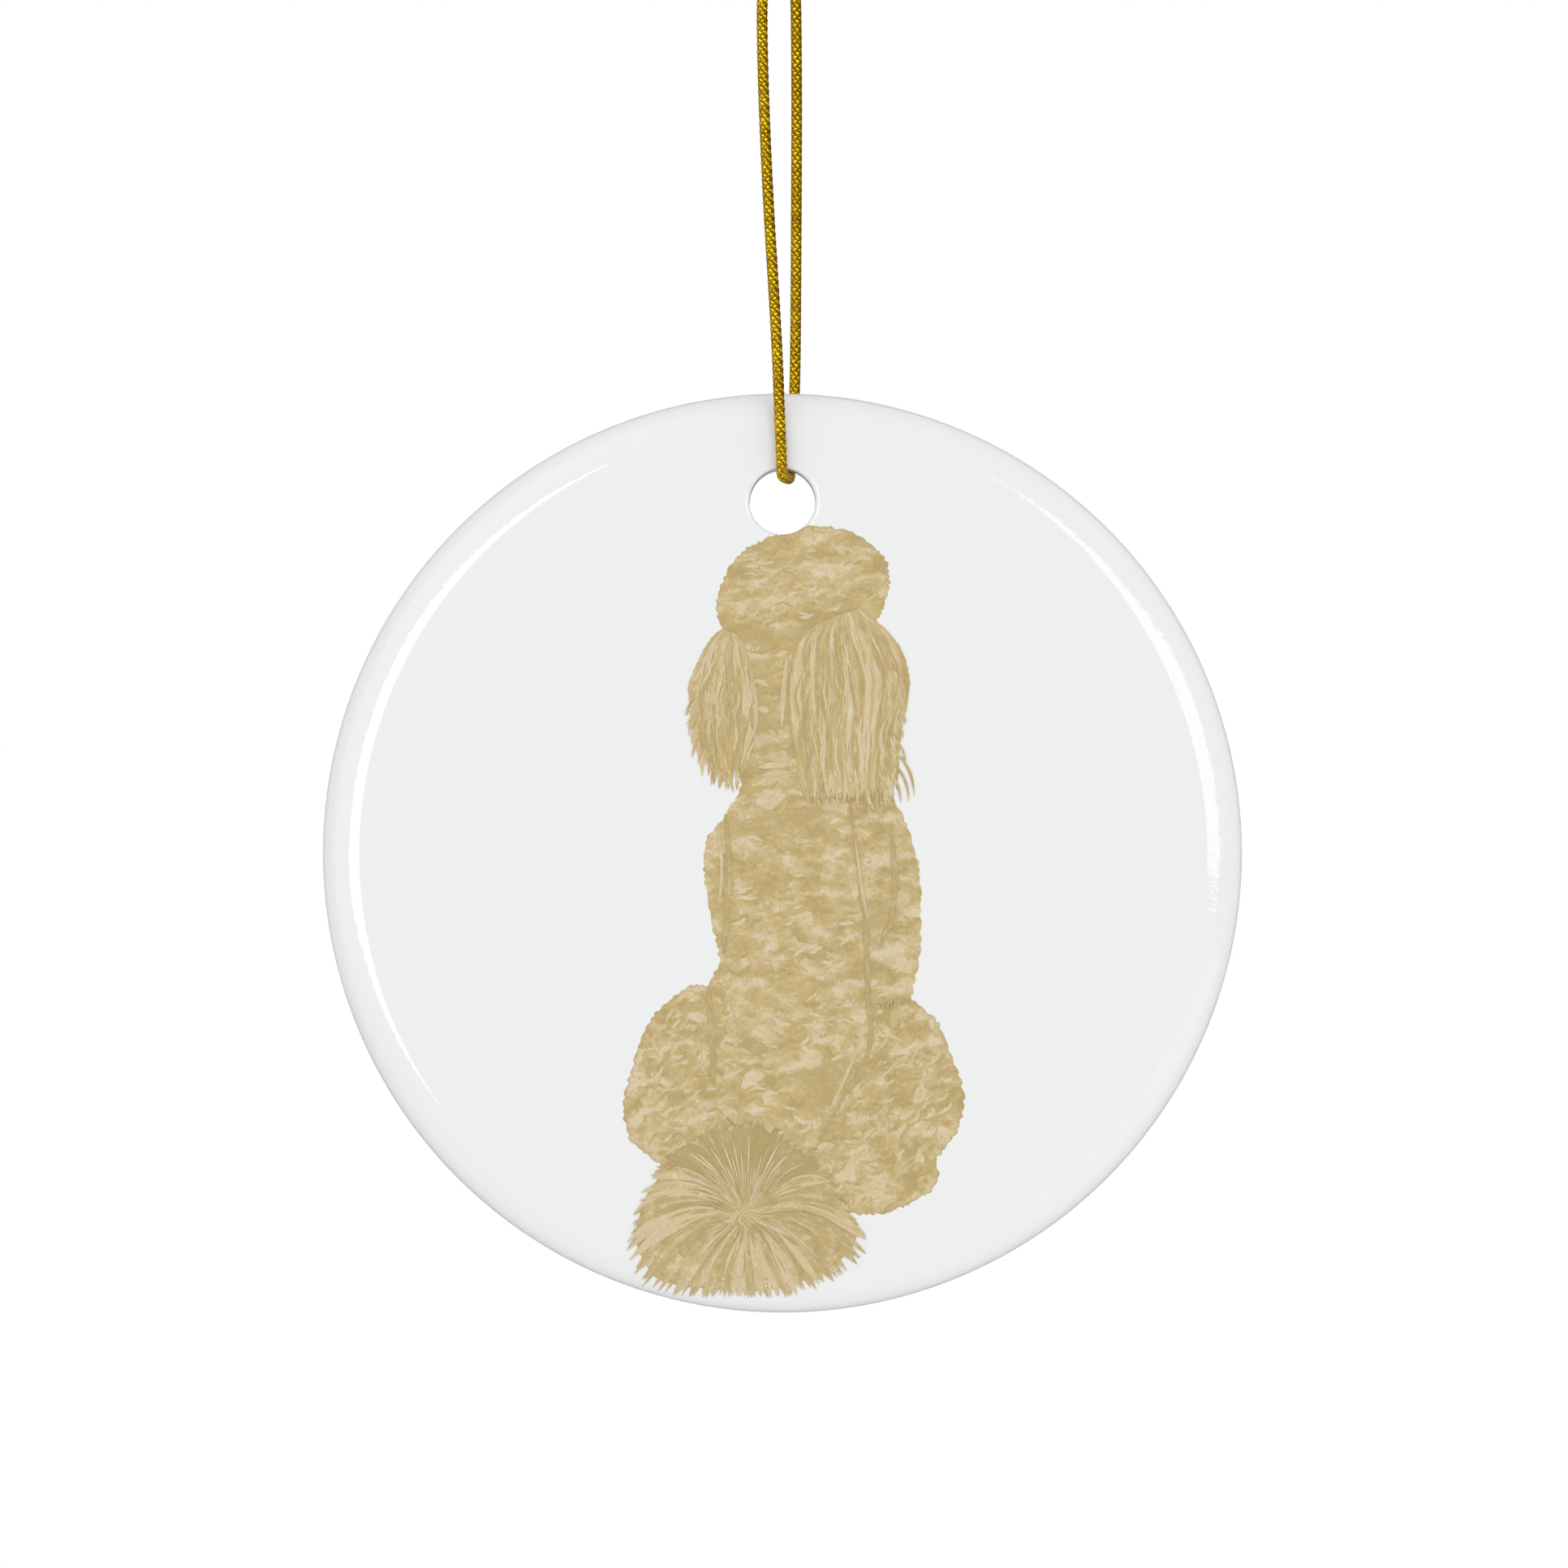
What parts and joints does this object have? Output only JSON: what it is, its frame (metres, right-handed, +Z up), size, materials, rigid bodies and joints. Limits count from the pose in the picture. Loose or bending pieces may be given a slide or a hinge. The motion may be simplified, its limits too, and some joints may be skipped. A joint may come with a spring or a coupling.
{
  "type": "hanging ornament",
  "caption": "Round white glazed ceramic hanging ornament with a tan picture of a sitting poodle on its face and a knotted loop of braided gold cord through its hole.",
  "frame": {"origin": "hang point: the inside of the loop's top, on the underside of the knot, where a hook bears", "axes": "+Z up along the hanging cord, +X to the right, the printed front faces -Y"},
  "size_m": [0.07, 0.0058, 0.115],
  "materials": {
    "ceramic": "glossy white glaze over a fired body",
    "glaze": "glossy white",
    "print": "glossy, tan woolly picture under the gloss",
    "cord": "braided metallic gold yarn"
  },
  "bodies": {
    "loop_top": {"cord_knot": "cord", "knot_tail_left": "cord", "knot_tail_right": "cord"},
    "upper_cord": {"cord_upper": "cord"},
    "lower_cord": {"cord_lower": "cord"},
    "ornament": {"ceramic_disc": "ceramic", "front_glaze": "glaze", "dog_print": "print"}
  },
  "joints": [
    {"name": "loop_swing", "type": "hinge", "parent": "loop_top", "child": "upper_cord", "pos_m": [0, 0, 0], "axis": [1, 0, 0], "range_deg": [-25, 25]},
    {"name": "cord_twist", "type": "hinge", "parent": "upper_cord", "child": "lower_cord", "pos_m": [0, 0, -0.024], "axis": [0, 0, 1], "range_deg": [-180, 180]},
    {"name": "ornament_rock", "type": "hinge", "parent": "lower_cord", "child": "ornament", "pos_m": [0.00026, 0, -0.04344], "axis": [0, 1, 0], "range_deg": [-20, 20]}
  ]
}
